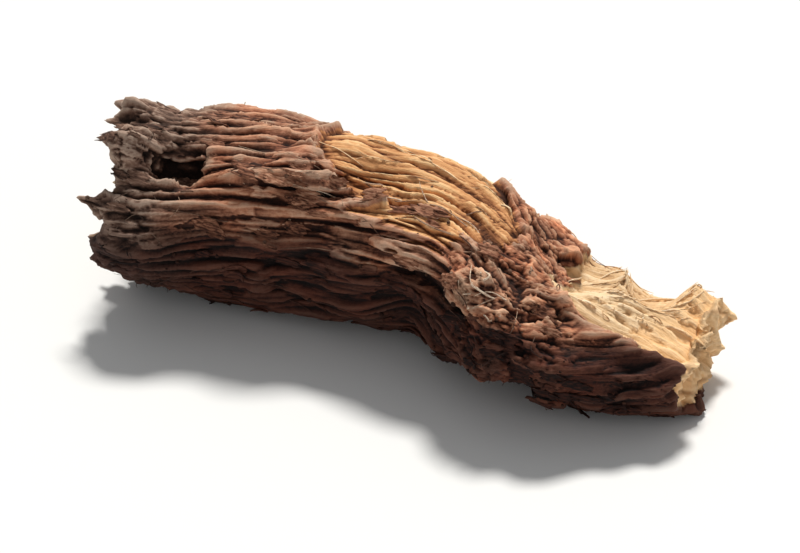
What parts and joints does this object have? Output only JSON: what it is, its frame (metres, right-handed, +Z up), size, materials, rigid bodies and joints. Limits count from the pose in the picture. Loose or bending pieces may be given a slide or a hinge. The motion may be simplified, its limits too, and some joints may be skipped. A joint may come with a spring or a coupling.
{
  "type": "dried echinacea root chip",
  "caption": "Chip of dried echinacea root: wrinkled brown bark with a rootlet knot, split back, torn ends and a bare wood tongue.",
  "frame": {"origin": "on the surface the chip lies on, under the middle of its box", "axes": "+X along the chip to the tip of the bare wood tongue, -Y to its barky front, +Z up"},
  "size_m": [0.024, 0.0086, 0.0074],
  "materials": {
    "root": "dry, matt, wrinkled brown bark, with fibrous tan to cream wood where it is bare"
  },
  "bodies": {
    "root": {"echinacea_root": "root"}
  },
  "joints": []
}
